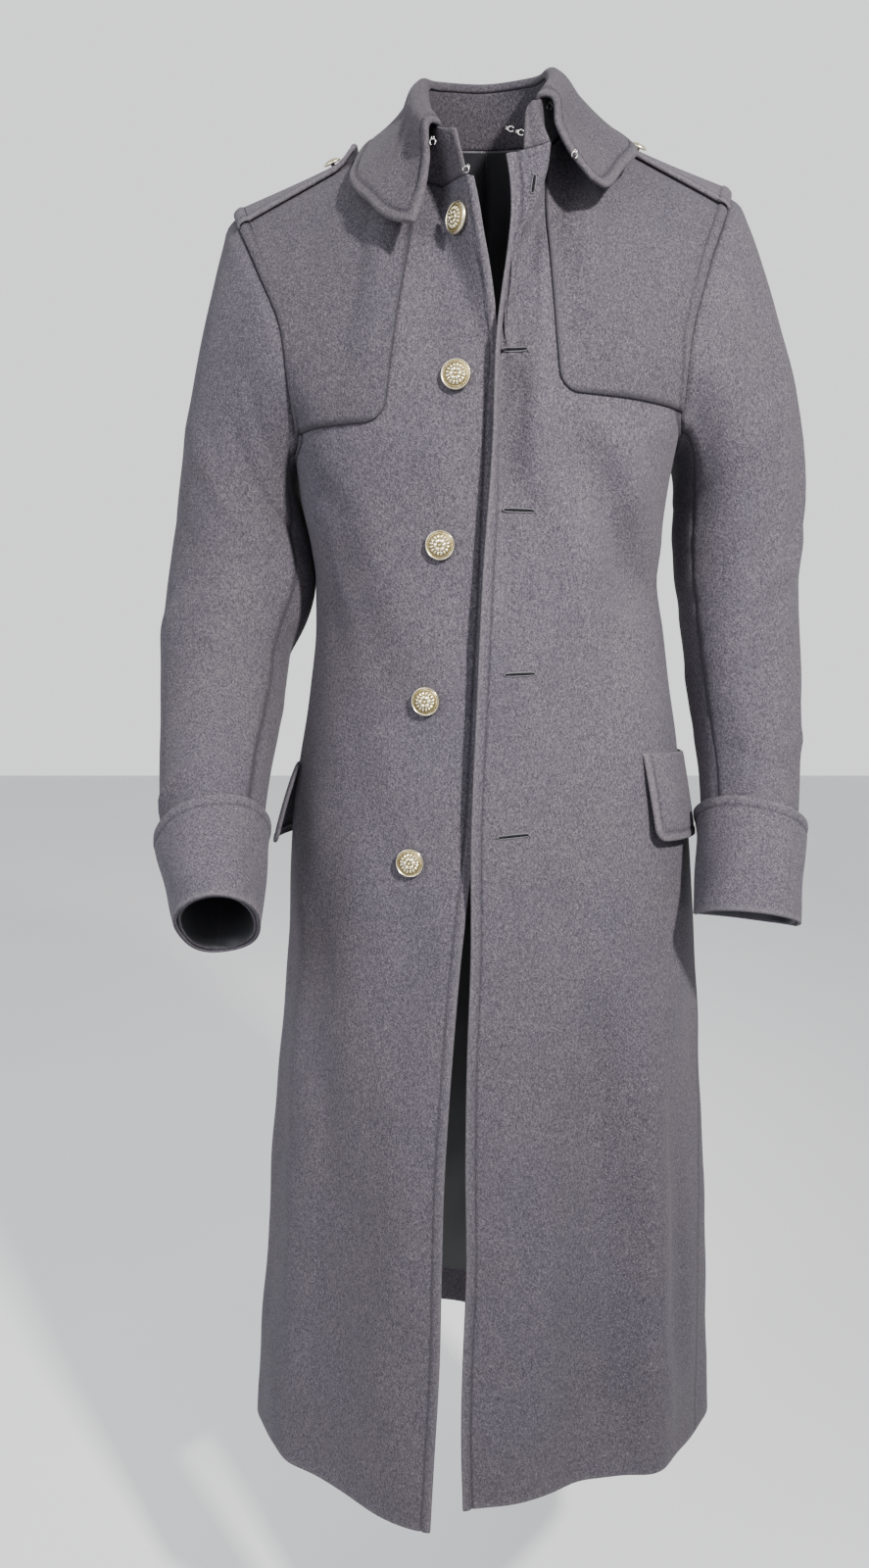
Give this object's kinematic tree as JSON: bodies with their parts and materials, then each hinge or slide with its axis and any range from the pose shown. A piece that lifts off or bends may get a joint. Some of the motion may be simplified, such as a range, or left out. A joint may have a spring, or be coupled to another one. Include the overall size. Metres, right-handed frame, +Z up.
{
  "type": "greatcoat",
  "caption": "Long single-breasted wool greatcoat worn open, with a stand-and-fall collar, chest yokes, turned-back cuffs, shoulder straps and pocket flaps.",
  "frame": {"origin": "between the shoulders at the base of the neck, where the wearer holds the coat up", "axes": "+Z up, the front faces -Y, +X towards the wearer's left"},
  "size_m": [0.6022, 0.4109, 1.3206],
  "materials": {
    "melton": "heathered grey-mauve wool melton with a short nap",
    "facing_melton": "the same wool, doubled and pressed, with topstitched edges",
    "button_metal": "worn gilt, bright on the rim and dark in the recesses"
  },
  "bodies": {
    "root": {"front_right": "melton", "front_left": "melton", "back_right": "melton", "back_left": "melton", "chest_yoke_right": "melton", "chest_yoke_left": "melton", "topsleeve_right": "melton", "undersleeve_right": "melton", "topsleeve_left": "melton", "undersleeve_left": "melton", "cuff_right": "facing_melton", "cuff_left": "facing_melton", "collar_stand": "facing_melton", "collar_fall": "facing_melton", "shoulder_strap_right": "facing_melton", "shoulder_strap_left": "facing_melton", "pocket_flap_right": "facing_melton", "pocket_flap_left": "facing_melton", "strap_button_right": "button_metal", "strap_button_left": "button_metal", "front_button_1": "button_metal", "front_button_2": "button_metal", "front_button_3": "button_metal", "front_button_4": "button_metal", "front_button_5": "button_metal"}
  },
  "joints": []
}
